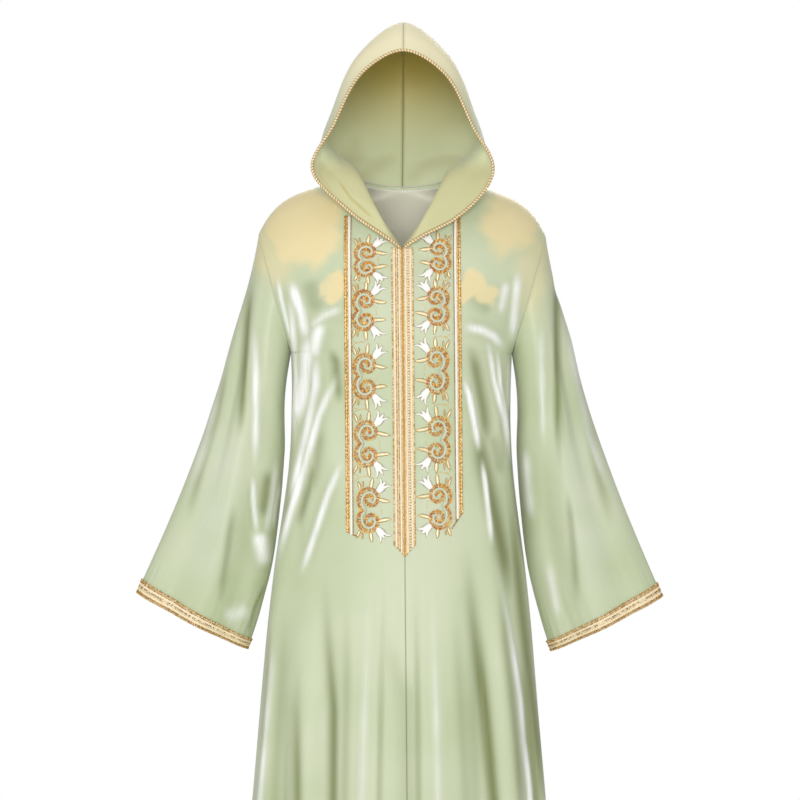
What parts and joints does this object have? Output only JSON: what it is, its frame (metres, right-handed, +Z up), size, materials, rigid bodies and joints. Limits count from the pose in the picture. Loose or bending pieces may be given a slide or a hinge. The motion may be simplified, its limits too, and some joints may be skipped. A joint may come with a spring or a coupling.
{
  "type": "hooded maxi dress",
  "caption": "Hooded maxi dress in satin with wide bell sleeves, braided front placket and embroidered front bands, in its worn hollow shape.",
  "frame": {"origin": "level with the shoulders on the middle of the neck, where the wearer's shoulders carry the dress", "axes": "+Z up, the front faces -Y, +X is to the right seen from the front"},
  "size_m": [0.8164, 0.413, 1.7204],
  "materials": {
    "satin": "lustrous satin",
    "hood_satin": "lustrous satin",
    "gold_braid": "metallic thread rope",
    "placket_braid": "metallic thread braid",
    "border_braid": "metallic thread braid",
    "cuff_braid": "metallic thread braid"
  },
  "bodies": {
    "root": {"front_left": "satin", "front_right": "satin", "back": "satin", "sleeve_left": "satin", "sleeve_right": "satin", "hood_left": "hood_satin", "hood_right": "hood_satin", "hood_edge_braid": "gold_braid", "placket_left": "placket_braid", "placket_right": "placket_braid", "border_braid_left": "border_braid", "border_braid_right": "border_braid", "cuff_braid_left": "cuff_braid", "cuff_braid_right": "cuff_braid"}
  },
  "joints": []
}
